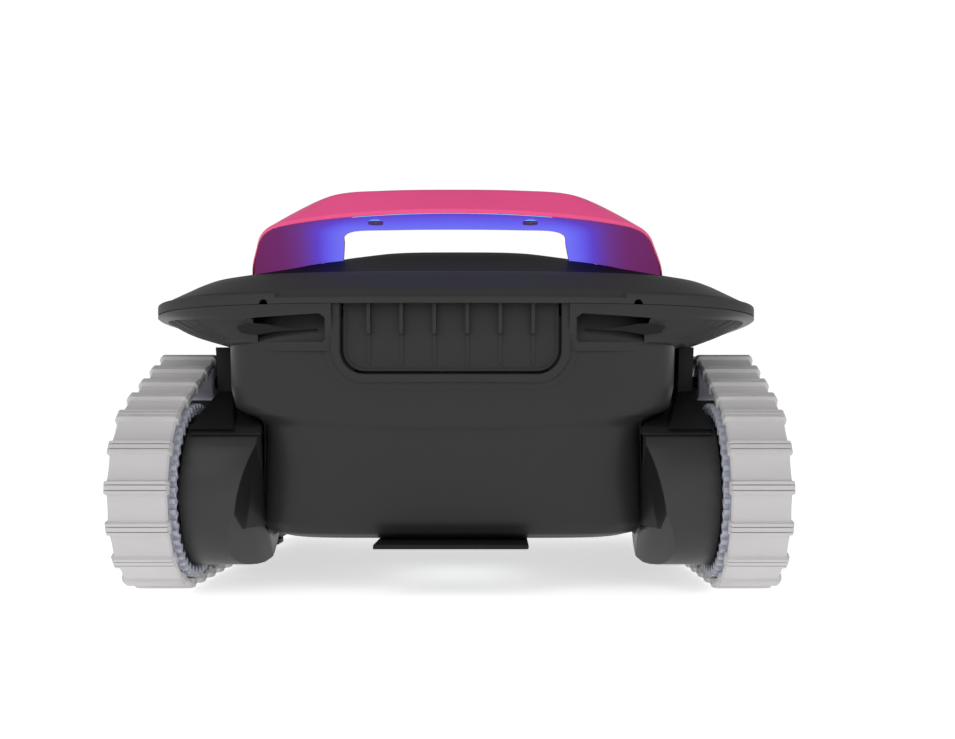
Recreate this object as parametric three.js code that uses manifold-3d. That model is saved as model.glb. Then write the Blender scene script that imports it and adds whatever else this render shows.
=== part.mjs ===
// Tracked pool cleaning robot, built as separate pieces.
// Millimetres, +Z up, front towards -Y, origin at the bottom centre of the whole machine.
import * as THREE from 'three';
import { ParametricGeometry } from 'three/addons/geometries/ParametricGeometry.js';
import { ConvexGeometry } from 'three/addons/geometries/ConvexGeometry.js';
import { mergeVertices } from 'three/addons/utils/BufferGeometryUtils.js';
import Module from 'manifold-3d';

const wasm = await Module();
wasm.setup();

// ---------- driving dimensions ----------

const GAP = 0.3; // clearance between pieces that touch

// tracks
const TRACK_OUTER_X = 200;
const TRACK_INNER_X = 162;
const WHEEL_Y = 139; // front and rear wheel centres, either side of the middle
const LUG_HEIGHT = 2.2;
const BELT_THICKNESS = 4.5;
const BELT_INNER_RADIUS = 55; // belt's inner face round a wheel
const WHEEL_Z = BELT_INNER_RADIUS + BELT_THICKNESS + LUG_HEIGHT;
const LUG_COUNT = 39;
const LUG_FIRST = 5; // first lug, measured up the belt from its front-most point
const LUG_TOP = 7.4;
const LUG_FOOT = 9.6;
const PAD_DIP = 0.4; // hollow of the pad between two lugs

// upper idlers
const IDLER_Y = 85;
const IDLER_Z = 131;
const IDLER_RADIUS = 12;
const IDLER_PIN_RADIUS = 4;

// wheels
const SPROCKET_RADIUS = 54.5;
const SPROCKET_INNER_X = 160;
const SPROCKET_OUTER_X = 198;
const RING_TIP_RADIUS = 47.3;
const PINION_TEETH = 9;
const PINION_TIP_RADIUS = 9;
const PINION_OFFSET = RING_TIP_RADIUS - PINION_TIP_RADIUS - 1; // pinion axis from the wheel axis
const POD_RADIUS = 46.8;
const POD_OUTER_X = 159.5;
const POD_INNER_X = 117;
const POD_TOP_Z = 100;
const AXLE_RADIUS = 5;

// side frames
const FRAME_INNER_X = 146;
const FRAME_OUTER_X = 155.5;
const FRAME_TOP_Z = 153;

// hull
const HULL_WALL = 3;
const HULL_CORNER = 9; // superellipse power of the hull's plan
const HULL_LEVELS = [
  [118, 157, 32],
  [122.5, 161.5, 38],
  [126, 171, 97],
  [131, 175, 102],
  [137.5, 177, 151],
  [139, 177.6, 170],
];
const NOTCH_HALF_WIDTH = 67.4;
const NOTCH_BOTTOM_Z = 134;
const NOTCH_CORNER = 14.5;
const NOTCH_FRAME = 5.6;

// lid and its rim
const RIM_HALF_WIDTH = 207.5;
const RIM_HALF_LENGTH = 186;
const RIM_CORNER = 3.25;
const DECK_TOP_Z = 174.7;
const LID_WALL = 3;
const LID_LEVELS = [
  [0, 223.6],
  [0.32, 221.8],
  [0.6, 208.8],
  [0.84, 197.6],
  [0.89, 193.4],
  [1, 180],
];
const HINGE_Y = 194;
const HINGE_Z = 170.5;
const HINGE_RADIUS = 5.2;

// inside the hull
const BASKET_Y = -72;
const PUMP_Y = 96;
const IMPELLER_RADIUS = 33;

// ---------- finishes ----------

function finish(color, roughness, metalness = 0) {
  return new THREE.MeshStandardMaterial({ color, roughness, metalness });
}

const blackCase = finish(0x313131, 0.55);
const darkCase = finish(0x262626, 0.6);
const pinkCase = finish(0xdc5586, 0.45);
const lightPanel = finish(0x6f5bd6, 0.5);
const trackRubber = finish(0xc1bfbf, 0.85);
const wheelPlastic = finish(0x91939d, 0.55);
const whitePlastic = finish(0xd8dadd, 0.6);
const meshPlastic = finish(0x55585e, 0.7);
const steel = finish(0xb9bcc0, 0.3, 1);
const foam = finish(0xe6e2d6, 0.9);
const boardGreen = finish(0x1f5f3c, 0.6);

// ---------- solids ----------

function signedVolume(positions, indices) {
  const a = new THREE.Vector3();
  const b = new THREE.Vector3();
  const c = new THREE.Vector3();
  let volume = 0;
  for (let i = 0; i < indices.length; i += 3) {
    a.fromArray(positions, 3 * indices[i]);
    b.fromArray(positions, 3 * indices[i + 1]);
    c.fromArray(positions, 3 * indices[i + 2]);
    volume += a.dot(b.cross(c));
  }
  return volume;
}

// Position-only geometry with shared corners, no collapsed triangles, and faces pointing out.
function closed(geometry) {
  const bare = geometry.clone();
  bare.deleteAttribute('normal');
  bare.deleteAttribute('uv');
  const merged = mergeVertices(bare, 1e-3);
  const positions = merged.attributes.position.array;
  const kept = [];
  const index = merged.index.array;
  for (let i = 0; i < index.length; i += 3) {
    const [a, b, c] = [index[i], index[i + 1], index[i + 2]];
    if (a !== b && b !== c && c !== a) kept.push(a, b, c);
  }
  if (signedVolume(positions, kept) < 0) kept.reverse();
  const result = new THREE.BufferGeometry();
  result.setAttribute('position', new THREE.BufferAttribute(new Float32Array(positions), 3));
  result.setIndex(kept);
  return result;
}

function toManifold(geometry) {
  const shape = closed(geometry);
  return new wasm.Manifold(new wasm.Mesh({
    numProp: 3,
    vertProperties: shape.attributes.position.array,
    triVerts: Uint32Array.from(shape.index.array),
  }));
}

function fromManifold(solid) {
  const mesh = solid.getMesh();
  const geometry = new THREE.BufferGeometry();
  geometry.setAttribute('position', new THREE.BufferAttribute(mesh.vertProperties, 3));
  geometry.setIndex(Array.from(mesh.triVerts));
  return geometry;
}

function cut(base, ...tools) {
  let solid = toManifold(base);
  for (const tool of tools) solid = solid.subtract(toManifold(tool));
  return fromManifold(solid);
}

function join(...parts) {
  let solid = toManifold(parts[0]);
  for (const part of parts.slice(1)) solid = solid.add(toManifold(part));
  return fromManifold(solid);
}

function box(x0, x1, y0, y1, z0, z1) {
  const geometry = new THREE.BoxGeometry(x1 - x0, y1 - y0, z1 - z0);
  return geometry.translate((x0 + x1) / 2, (y0 + y1) / 2, (z0 + z1) / 2);
}

function rodX(radius, x0, x1, y, z, sides = 24) {
  const geometry = new THREE.CylinderGeometry(radius, radius, x1 - x0, sides);
  return geometry.rotateZ(Math.PI / 2).translate((x0 + x1) / 2, y, z);
}

function rodY(radius, x, y0, y1, z, sides = 16) {
  const geometry = new THREE.CylinderGeometry(radius, radius, y1 - y0, sides);
  return geometry.translate(x, (y0 + y1) / 2, z);
}

function rodZ(radius, x, y, z0, z1, sides = 24) {
  const geometry = new THREE.CylinderGeometry(radius, radius, z1 - z0, sides);
  return geometry.rotateX(Math.PI / 2).translate(x, y, (z0 + z1) / 2);
}

// A shape drawn with (y, z) as its two axes, given a width along X.
function extrudeX(shape, x0, x1, curveSegments = 12) {
  const geometry = new THREE.ExtrudeGeometry(shape, { depth: x1 - x0, bevelEnabled: false, curveSegments });
  const axes = new THREE.Matrix4().makeBasis(
    new THREE.Vector3(0, 1, 0),
    new THREE.Vector3(0, 0, 1),
    new THREE.Vector3(1, 0, 0),
  );
  return geometry.applyMatrix4(axes).translate(x0, 0, 0);
}

// A shape drawn with (x, z) as its two axes, given a depth along Y.
function extrudeY(shape, y0, y1, curveSegments = 8) {
  const geometry = new THREE.ExtrudeGeometry(shape, { depth: y1 - y0, bevelEnabled: false, curveSegments });
  const axes = new THREE.Matrix4().makeBasis(
    new THREE.Vector3(1, 0, 0),
    new THREE.Vector3(0, 0, 1),
    new THREE.Vector3(0, -1, 0),
  );
  return geometry.applyMatrix4(axes).translate(0, y1, 0);
}

// A mirrored copy on the other side of the machine.
function mirrored(geometry) {
  return closed(geometry.clone().scale(-1, 1, 1));
}

// A point of the oval |x/a|^n + |y/b|^n = 1.
function ovalPoint(halfX, halfY, power, turn) {
  const bend = (value) => (Math.abs(value) < 1e-9 ? 0 : Math.sign(value) * Math.abs(value) ** (2 / power));
  return [halfX * bend(Math.cos(turn)), halfY * bend(Math.sin(turn))];
}

// A solid from stacked outlines: place(level, turn) gives the point at that level and turn.
function stacked(levels, place, sides = 40) {
  const surface = (u, v, target) => {
    const level = levels[Math.round(v * (levels.length - 1))];
    target.set(...place(level, u * 2 * Math.PI));
  };
  return closed(new ParametricGeometry(surface, sides, levels.length - 1));
}

// ---------- hull ----------

function hullPlace([halfX, halfY, z], turn) {
  const [x, y] = ovalPoint(halfX, halfY, HULL_CORNER, turn);
  return [x, y, z];
}

// The hull's whole volume, grown a little and carried up to topZ when it trims a neighbour.
function hullBody(grow = 0, topZ = null) {
  const levels = HULL_LEVELS.map(([a, b, z]) => [a + grow, b + grow, z]);
  levels[0][2] -= grow;
  if (topZ !== null) levels.push([...levels.at(-1).slice(0, 2), topZ]);
  return stacked([[0, 0, levels[0][2]], ...levels, [0, 0, levels.at(-1)[2]]], hullPlace);
}

function notchShape(halfWidth, bottomZ, corner, topZ) {
  const shape = new THREE.Shape();
  shape.moveTo(-halfWidth, topZ);
  shape.lineTo(-halfWidth, bottomZ + corner);
  shape.absarc(-halfWidth + corner, bottomZ + corner, corner, Math.PI, 1.5 * Math.PI, false);
  shape.lineTo(halfWidth - corner, bottomZ);
  shape.absarc(halfWidth - corner, bottomZ + corner, corner, 1.5 * Math.PI, 2 * Math.PI, false);
  shape.lineTo(halfWidth, topZ);
  return shape;
}

const NOTCH_OUTER = {
  halfWidth: NOTCH_HALF_WIDTH + NOTCH_FRAME,
  bottomZ: NOTCH_BOTTOM_Z - NOTCH_FRAME,
  corner: NOTCH_CORNER + NOTCH_FRAME,
};

function notchTool(grow, y0, y1, topZ) {
  const { halfWidth, bottomZ, corner } = NOTCH_OUTER;
  return extrudeY(notchShape(halfWidth + grow, bottomZ - grow, corner + grow, topZ), y0, y1);
}

const INTAKE = { halfX: 38, y0: -112, y1: -32 };
const GLAND = { x: -84, z: 118, radius: 8 };

function hullTub() {
  return cut(
    hullBody(),
    hullInterior(),
    notchTool(0, -200, -150, 190),
    box(-INTAKE.halfX, INTAKE.halfX, INTAKE.y0, INTAKE.y1, 20, 40),
    rodY(GLAND.radius + GAP, GLAND.x, 150, 200, GLAND.z),
  );
}

function hullInterior() {
  const levels = HULL_LEVELS.map(([a, b, z]) => [a - HULL_WALL, b - HULL_WALL, z]);
  levels[0] = [levels[0][0] + 1, levels[0][1] + 1, 35];
  levels.at(-1)[2] = 180;
  return stacked([[0, 0, 35], ...levels, [0, 0, 180]], hullPlace);
}

function notchFrame() {
  const inner = notchShape(NOTCH_HALF_WIDTH, NOTCH_BOTTOM_Z, NOTCH_CORNER, 190);
  return cut(notchTool(-GAP, -182.5, -175, 174.4), extrudeY(inner, -190, -165));
}

// ---------- deck: the flared rim that the lid closes on ----------

const DECK_INNER = [HULL_LEVELS[4][0] + 2.2, HULL_LEVELS[4][1] + 1.5];

// w runs from 0 at the hull to 1 at the rim
function deckPlace([w, z], turn) {
  const [x0, y0] = ovalPoint(...DECK_INNER, HULL_CORNER, turn);
  const [x1, y1] = ovalPoint(RIM_HALF_WIDTH, RIM_HALF_LENGTH, RIM_CORNER, turn);
  return [x0 + (x1 - x0) * w, y0 + (y1 - y0) * w, z];
}

const HINGE_X = [-66, 66];

function deckFrame() {
  const ring = stacked(
    [[0, 151], [1, 171], [1, DECK_TOP_Z], [0.93, DECK_TOP_Z], [0, 155], [0, 151]],
    deckPlace,
  );
  const lugs = [];
  for (const x of HINGE_X) {
    for (const side of [-1, 1]) {
      const x0 = x + side * 12.5 - 3;
      const x1 = x + side * 12.5 + 3;
      lugs.push(rodX(HINGE_RADIUS, x0, x1, HINGE_Y, HINGE_Z, 16));
      lugs.push(box(x0, x1, 181.7, HINGE_Y, 159, HINGE_Z));
    }
  }
  const pinHoles = HINGE_X.map((x) => rodX(2.3, x - 20, x + 20, HINGE_Y, HINGE_Z, 12));
  return cut(join(ring, ...lugs), box(-73.3, 73.3, -200, -170, 140, 180), ...pinHoles);
}

// ---------- lid ----------

function lidPlace([t, z], turn) {
  const [x, y] = ovalPoint(RIM_HALF_WIDTH * t, RIM_HALF_LENGTH * t, RIM_CORNER, turn);
  return [x, y, z];
}

// The lid's whole volume, filled down to its lower edge.
function lidVolume(grow) {
  const levels = LID_LEVELS.map(([t, z]) => [t * (1 + grow / RIM_HALF_LENGTH), z + grow]);
  return stacked([...levels, [1, 175], [0, 175]], lidPlace);
}

const GRILLE_RADIUS = 38;

function lidShell() {
  const outer = LID_LEVELS.map(([t, z]) => [t, z]);
  const inner = LID_LEVELS.slice(0, -1).reverse();
  const innerLevels = inner.map(([t, z]) => [t * 0.985, z - LID_WALL]);
  const shell = stacked(
    [...outer, [1, DECK_TOP_Z + GAP], [0.982, DECK_TOP_Z + GAP], [0.98, 178], ...innerLevels],
    lidPlace,
  );
  const knuckles = [];
  for (const x of HINGE_X) {
    knuckles.push(rodX(HINGE_RADIUS, x - 9, x + 9, HINGE_Y, HINGE_Z, 16));
    knuckles.push(box(x - 9, x + 9, 183.6, HINGE_Y, DECK_TOP_Z + GAP, 178.6));
    knuckles.push(box(x - 9, x + 9, 189.5, HINGE_Y + 4.5, HINGE_Z, 178.6));
  }
  const pinHoles = HINGE_X.map((x) => rodX(2.3, x - 20, x + 20, HINGE_Y, HINGE_Z, 12));
  const pryHoles = [-112, 112].map((x) => rodY(2.7, x, -200, -160, 175.4, 12));
  const outlet = rodZ(GRILLE_RADIUS + GAP, 0, PUMP_Y, 190, 240, 32);
  return cut(join(shell, ...knuckles), outlet, ...pinHoles, ...pryHoles);
}

// A round grille: a rim, a hub and straight bars.
function outletGrille() {
  const bars = [];
  for (let y = -24; y <= 24; y += 12) {
    const reach = Math.sqrt((GRILLE_RADIUS - 2) ** 2 - (Math.abs(y) + 1.6) ** 2);
    bars.push(box(-reach, reach, PUMP_Y + y - 1.6, PUMP_Y + y + 1.6, 208, 211));
  }
  const rim = cut(
    rodZ(GRILLE_RADIUS, 0, PUMP_Y, 205, 211, 32),
    rodZ(GRILLE_RADIUS - 3, 0, PUMP_Y, 200, 215, 32),
  );
  return join(rim, ...bars, box(-2, 2, PUMP_Y - 36, PUMP_Y + 36, 207, 210.5));
}

// ---------- handle ----------

// Half of the handle, from its middle to the end of a leg; the other half mirrors it.
const HANDLE_OUTER = curve([[0, -165, 232], [50, -160.5, 232.6], [97, -141, 232], [118, -122, 226.5],
  [130, -102, 218.5], [140, -76, 208.5], [146, -22, 190]]);
const HANDLE_CREST = curve([[0, -148, 249.4], [42, -146, 248.8], [80, -134, 246.8], [93, -115, 242.5],
  [100, -97, 236], [107, -74, 227], [116, -22, 204]]);
const HANDLE_INNER = curve([[0, -131, 227.5], [40, -130.4, 227.3], [67, -128.5, 226.4], [73, -121, 224.4],
  [75, -101, 219.4], [78, -77, 214], [88, -22, 205]]);

function curve(points) {
  const mirror = points.slice(1).reverse().map(([x, y, z]) => new THREE.Vector3(-x, y, z));
  const half = points.map(([x, y, z]) => new THREE.Vector3(x, y, z));
  return new THREE.CatmullRomCurve3([...mirror, ...half], false, 'centripetal');
}

const HANDLE_STEPS = 24;

// The handle's cross-section at s, from 0 at one leg's end to 1 at the other's.
function handleSection(s) {
  const outer = HANDLE_OUTER.getPoint(s);
  const crest = HANDLE_CREST.getPoint(s);
  const inner = HANDLE_INNER.getPoint(s);
  const nose = outer.clone().setZ(outer.z + 2);
  const brow = outer.clone().lerp(crest, 0.55);
  brow.z += 1.6;
  const back = inner.clone().lerp(crest, 0.35);
  back.z = inner.z + 0.82 * (crest.z - inner.z);
  const heel = inner.clone().setZ(inner.z + 3);
  return [outer, nose, brow, crest, back, heel, inner];
}

// A band under the handle between its outer and inner edges.
function undersideSection(s, inset, below, above) {
  const outer = HANDLE_OUTER.getPoint(s);
  const inner = HANDLE_INNER.getPoint(s);
  const across = inner.clone().sub(outer).normalize().multiplyScalar(inset);
  outer.add(across);
  inner.sub(across);
  const up = (point, rise) => point.clone().setZ(point.z + rise);
  return [up(outer, -below), up(outer, above), up(inner, above), up(inner, -below)];
}

// A closed tube through the cross-sections, with its two ends closed to a point.
function sweep(section, steps) {
  const sides = section(0).length;
  const surface = (u, v, target) => {
    const step = Math.round(v * (steps + 2));
    const ring = section(THREE.MathUtils.clamp((step - 1) / steps, 0, 1));
    if (step === 0 || step === steps + 2) {
      target.set(0, 0, 0);
      for (const point of ring) target.addScaledVector(point, 1 / sides);
    } else {
      target.copy(ring[Math.round(u * sides) % sides]);
    }
  };
  return closed(new ParametricGeometry(surface, sides, steps + 2));
}

const HANDLE_SCREWS = [-48.3, 48.3];
const SCREW_Y = -146;

function handleShell() {
  const body = sweep(handleSection, HANDLE_STEPS);
  const pocket = sweep((s) => undersideSection(s, 1.3, 4, 2.3), HANDLE_STEPS);
  const screwHoles = HANDLE_SCREWS.map((x) => rodZ(4.8, x, SCREW_Y, 220, 238, 16));
  const ledGroove = box(-62, 62, -156, -151, 225, 237.2);
  return cut(body, pocket, lidVolume(GAP), ledGroove, ...screwHoles);
}

function handleUnderside() {
  const panel = sweep((s) => undersideSection(s, 1.7, 0, 2), HANDLE_STEPS);
  const screwHoles = HANDLE_SCREWS.map((x) => rodZ(4.8, x, SCREW_Y, 220, 238, 16));
  return cut(panel, lidVolume(GAP), ...screwHoles);
}

// ---------- tracks ----------

// The belt's path at a distance outside its inner face, clockwise seen from the right side,
// starting at its front-most point.
function beltPath(offset) {
  const wheel = BELT_INNER_RADIUS + offset;
  const idler = IDLER_RADIUS + GAP + offset;
  const dy = WHEEL_Y - IDLER_Y;
  const dz = IDLER_Z - WHEEL_Z;
  const slope = Math.atan2(dz, dy) - Math.asin((wheel - idler) / Math.hypot(dy, dz));
  const lean = Math.PI / 2 + slope;
  const path = new THREE.Path();
  path.moveTo(-WHEEL_Y - wheel, WHEEL_Z);
  path.absarc(-WHEEL_Y, WHEEL_Z, wheel, Math.PI, lean, true);
  path.absarc(-IDLER_Y, IDLER_Z, idler, lean, Math.PI / 2, true);
  path.absarc(IDLER_Y, IDLER_Z, idler, Math.PI / 2, Math.PI - lean, true);
  path.absarc(WHEEL_Y, WHEEL_Z, wheel, Math.PI - lean, -Math.PI / 2, true);
  path.absarc(-WHEEL_Y, WHEEL_Z, wheel, 1.5 * Math.PI, Math.PI, true);
  return path;
}

function beltOutline() {
  const path = beltPath(BELT_THICKNESS);
  const length = path.getLength();
  const pitch = length / LUG_COUNT;
  const shape = new THREE.Shape();
  const profile = [[-LUG_FOOT / 2, 0], [-LUG_TOP / 2, LUG_HEIGHT], [LUG_TOP / 2, LUG_HEIGHT],
    [LUG_FOOT / 2, 0], [pitch / 2, -PAD_DIP]];
  const points = [];
  for (let lug = 0; lug < LUG_COUNT; lug += 1) {
    for (const [along, height] of profile) {
      const at = ((LUG_FIRST + lug * pitch + along) / length + 1) % 1;
      const point = path.getPointAt(at);
      const tangent = path.getTangentAt(at);
      points.push(new THREE.Vector2(point.x - tangent.y * height, point.y + tangent.x * height));
    }
  }
  return shape.setFromPoints(points);
}

// Leaves out each point that repeats the one before it, and the last if it repeats the first.
function distinct(points) {
  return points.filter((point, i) => point.distanceTo(points.at(i - 1)) > 0.01);
}

function trackBelt() {
  const hollow = new THREE.Shape(distinct(beltPath(0).getPoints(6)));
  return cut(extrudeX(beltOutline(), TRACK_INNER_X, TRACK_OUTER_X), extrudeX(hollow, 150, 210));
}

// Wheel at the origin, its axis along X. The drive ring's fine inner teeth end at its tip radius.
function sprocket() {
  const rim = rodX(SPROCKET_RADIUS, SPROCKET_INNER_X, SPROCKET_OUTER_X, 0, 0, 36);
  const innerSide = rodX(RING_TIP_RADIUS, 150, 174, 0, 0, 36);
  const outerSide = rodX(RING_TIP_RADIUS, 179, 210, 0, 0, 36);
  const hub = cut(rodX(12, 161, 194, 0, 0, 12), rodX(AXLE_RADIUS + GAP, 150, 210, 0, 0, 12));
  const wheel = cut(rim, innerSide, outerSide, rodX(11, 150, 210, 0, 0, 12));
  return join(wheel, hub);
}

function drivePinion() {
  const shape = new THREE.Shape();
  const points = [];
  for (let i = 0; i < 2 * PINION_TEETH; i += 1) {
    const radius = i % 2 ? PINION_TIP_RADIUS : PINION_TIP_RADIUS - 2.4;
    const turn = (Math.PI * i) / PINION_TEETH;
    points.push(new THREE.Vector2(radius * Math.cos(turn), radius * Math.sin(turn)));
  }
  shape.setFromPoints(points);
  return cut(extrudeX(shape, 162, 171), rodX(2 + GAP, 155, 180, 0, 0, 12));
}

function axle() {
  return join(
    rodX(AXLE_RADIUS, 140, 194.6, 0, 0, 12),
    rodX(10, 194.3, 197.4, 0, 0, 16),
  );
}

const MOTOR_RADIUS = 8.5;

// A pod is a round housing that carries a wheel; the hull's corner trims its inner end.
// Two slanted planes bevel the pod's inner end, most at the end of the machine and low down.
const POD_BEVELS = [
  { x: 127.5, perDepth: -0.277, perHeight: -0.203 },
  { x: 128, perDepth: -0.569, perHeight: -0.608 },
];

function podBevel({ x, perDepth, perHeight }, side) {
  const corners = [];
  for (const y of [90, 200]) {
    for (const z of [0, 110]) {
      corners.push(new THREE.Vector3(-100, side * y, z));
      corners.push(new THREE.Vector3(x + perDepth * (184 - y) + perHeight * (z - 50), side * y, z));
    }
  }
  return new ConvexGeometry(corners);
}

function pod(y, towardsMiddle, hasMotor) {
  const body = rodX(POD_RADIUS, POD_INNER_X, POD_OUTER_X, y, WHEEL_Z, 40);
  const tools = [
    ...POD_BEVELS.map((bevel) => podBevel(bevel, Math.sign(y))),
    hullBody(GAP),
    box(100, 170, y - 60, y + 60, POD_TOP_Z, 140),
    rodX(AXLE_RADIUS + GAP, 139.7, 170, y, WHEEL_Z, 12),
  ];
  if (hasMotor) {
    const motorY = y + towardsMiddle * PINION_OFFSET;
    tools.push(rodX(MOTOR_RADIUS + GAP, 100, 152, motorY, WHEEL_Z, 20));
    tools.push(rodX(2 + GAP, 140, 170, motorY, WHEEL_Z, 12));
  }
  return cut(body, ...tools);
}

function driveMotor() {
  return join(
    rodX(MOTOR_RADIUS, 129, 151.7, 0, 0, 20),
    rodX(2, 151, 172, 0, 0, 12),
  );
}

function upperIdler() {
  const barrel = rodX(IDLER_RADIUS, 163, 199, 0, 0, 24);
  return cut(barrel, rodX(IDLER_PIN_RADIUS + GAP, 150, 210, 0, 0, 12));
}

// The plate that carries one track: its ends are hollowed to fit round the pods.
function sideFrame() {
  const reach = POD_RADIUS + GAP;
  const neck = Math.asin((POD_TOP_Z + GAP - WHEEL_Z) / reach);
  const foot = THREE.MathUtils.degToRad(68);
  const shape = new THREE.Shape();
  shape.moveTo(-118, FRAME_TOP_Z);
  shape.lineTo(-112, 124);
  shape.lineTo(-WHEEL_Y + reach * Math.cos(neck), WHEEL_Z + reach * Math.sin(neck));
  shape.absarc(-WHEEL_Y, WHEEL_Z, reach, neck, -foot, true);
  shape.lineTo(-108, 11);
  shape.lineTo(108, 11);
  shape.absarc(WHEEL_Y, WHEEL_Z, reach, Math.PI + foot, Math.PI - neck, true);
  shape.lineTo(112, 124);
  shape.lineTo(118, FRAME_TOP_Z);
  const plate = extrudeX(shape, FRAME_INNER_X, FRAME_OUTER_X);
  const parts = [];
  for (const y of [-1, 1]) {
    const corners = [];
    for (const x of [131, 158.5]) {
      corners.push(new THREE.Vector3(x, y * 172, POD_TOP_Z + GAP));
      corners.push(new THREE.Vector3(x, y * 111, POD_TOP_Z + GAP));
      corners.push(new THREE.Vector3(x, y * 150, POD_TOP_Z + 3));
    }
    for (const x of [FRAME_INNER_X, FRAME_OUTER_X]) corners.push(new THREE.Vector3(x, y * 112, 124));
    parts.push(new ConvexGeometry(corners));
    parts.push(rodX(IDLER_PIN_RADIUS, 150, 196, y * IDLER_Y, IDLER_Z, 12));
    parts.push(box(127.5, 150, y * 62 - 14, y * 62 + 14, 66, 92));
  }
  parts.push(box(127.5, 150, -12, 12, 66, 92));
  parts.push(box(150, 161, -70, 70, 12, 30));
  return cut(join(plate, ...parts), hullBody(GAP, 190), deckUnderside());
}

// Everything above the deck's sloping lower face, used to trim what stands below it.
function deckUnderside() {
  const levels = [[0, 0, 150.6], [1, 0, 150.6], [1, 1.05, 171.6], [1, 1.05, 240], [0, 0, 240]];
  return stacked(levels, ([reach, w, z], turn) => {
    const [x, y] = deckPlace([w, z], turn);
    return [x * reach, y * reach, z];
  });
}

// The slippery rail that the belt's lower run slides along.
function beltRail() {
  return box(163, 199, -70, 70, 7.1, 11);
}

function skidFoot() {
  return box(133, FRAME_INNER_X - GAP, -26, -6, 13.8, 18);
}

function intakeLip() {
  return cut(
    box(-46.5, 46.5, -178, -20, 28.6, 31.6),
    box(-INTAKE.halfX, INTAKE.halfX, INTAKE.y0, INTAKE.y1, 20, 40),
  );
}

// ---------- filter basket ----------

const BASKET_LEVELS = [[100, 79, 36], [106, 87, 60], [108, 93, 98], [112, 99.5, 164]];

function basketPlace([halfX, halfY, z], turn) {
  const [x, y] = ovalPoint(halfX, halfY, HULL_CORNER, turn);
  return [x, y + BASKET_Y, z];
}

const RIB_X = [-49.1, -29.5, -9.8, 9.8, 29.5, 49.1];

function filterBasket() {
  const bottom = BASKET_LEVELS[0][2];
  const top = BASKET_LEVELS.at(-1)[2];
  const outer = stacked([[0, 0, bottom], ...BASKET_LEVELS, [0, 0, top]], basketPlace);
  const thin = BASKET_LEVELS.map(([a, b, z]) => [a - 2.5, b - 2.5, z]);
  thin[0][2] += 2.5;
  const inside = stacked([[0, 0, bottom + 2.5], ...thin.slice(0, -1), [109.5, 97, top + 9], [0, 0, top + 9]],
    basketPlace);
  const face = box(-65.5, 65.5, -174.3, -169, 135.8, 168);
  const ribs = RIB_X.map((x) => box(x - 1.1, x + 1.1, -177.5, -172, 157, 168));
  const bridge = box(-110.5, 110.5, BASKET_Y - 4, BASKET_Y + 4, 150, 157);
  const windows = [
    box(-130, 130, BASKET_Y - 62, BASKET_Y - 10, 70, 140),
    box(-130, 130, BASKET_Y + 10, BASKET_Y + 62, 70, 140),
    box(-80, -6, BASKET_Y + 60, BASKET_Y + 120, 60, 140),
    box(6, 80, BASKET_Y + 60, BASKET_Y + 120, 60, 140),
  ];
  const body = cut(outer, inside, ...windows);
  const eyes = [-1, 1].map((side) => box(side * 50 - 3, side * 50 + 3, BASKET_Y - 4, BASKET_Y + 4, 156, 166));
  const hingeCheeks = [-1, 1].map((side) => box(side * 43.5 - 1.5, side * 43.5 + 1.5, -78, -66, 38, 43));
  const hole = box(-INTAKE.halfX, INTAKE.halfX, INTAKE.y0, INTAKE.y1, 30, 40);
  const bailHole = rodX(2.2 + GAP, -60, 60, BASKET_Y, 161.5, 12);
  return cut(join(body, bridge, face, ...ribs, ...eyes, ...hingeCheeks), hole, bailHole);
}

function basketBail() {
  const z = 161.5;
  const y1 = BASKET_Y + 36;
  return join(
    rodX(2.2, -54, -42, BASKET_Y, z, 10),
    rodX(2.2, 42, 54, BASKET_Y, z, 10),
    box(-45.5, -42, BASKET_Y - 2.2, y1 + 3, z - 2.2, z + 2.2),
    box(42, 45.5, BASKET_Y - 2.2, y1 + 3, z - 2.2, z + 2.2),
    box(-45.5, 45.5, y1 - 4, y1 + 3, z - 2.2, z + 2.2),
  );
}

// A mesh screen that closes the windows on one side of the basket.
function sideScreen() {
  const frame = box(113, 114.6, BASKET_Y - 66, BASKET_Y + 66, 66, 144);
  return frame;
}

function rearScreen() {
  return box(-84, 84, BASKET_Y + 100.4, BASKET_Y + 101.8, 56, 144);
}

const FLAP_HINGE_X = 41;
const FLAP_HINGE_Z = 41;

function intakeFlap() {
  return join(
    box(0.6, FLAP_HINGE_X, INTAKE.y0 - 2, INTAKE.y1 + 2, 39.2, 40.6),
    rodY(1.6, FLAP_HINGE_X, INTAKE.y0 - 2, -78.6, FLAP_HINGE_Z, 10),
    rodY(1.6, FLAP_HINGE_X, -65.4, INTAKE.y1 + 2, FLAP_HINGE_Z, 10),
  );
}

// ---------- pump ----------

const BOX = { halfX: 62, y0: 40, y1: 150, z0: 35.4, z1: 118 };

function motorBox() {
  const { halfX, y0, y1, z0, z1 } = BOX;
  return cut(
    box(-halfX, halfX, y0, y1, z0, z1),
    box(-halfX + 3, halfX - 3, y0 + 3, y1 - 3, z0 + 3, z1 + 5),
  );
}

function motorBoxCover() {
  const { halfX, y0, y1, z1 } = BOX;
  return cut(
    box(-halfX, halfX, y0, y1, z1 + GAP, z1 + 4),
    rodZ(5, 0, PUMP_Y, 100, 140, 16),
  );
}

function pumpMotor() {
  return join(
    rodZ(24, 0, PUMP_Y, BOX.z0 + 3.4, 108, 24),
    rodZ(3, 0, PUMP_Y, 107, 146, 12),
  );
}

function impeller() {
  const blades = [];
  for (let i = 0; i < 5; i += 1) {
    const blade = new THREE.BoxGeometry(IMPELLER_RADIUS - 6, 2.4, 20);
    blade.rotateX(0.5).translate(IMPELLER_RADIUS / 2 + 3, 0, 0);
    blades.push(blade.rotateZ((2 * Math.PI * i) / 5));
  }
  const hub = rodZ(9, 0, 0, -11, 11, 16);
  return cut(join(hub, ...blades), rodZ(3 + GAP, 0, 0, -20, 7, 12));
}

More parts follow.
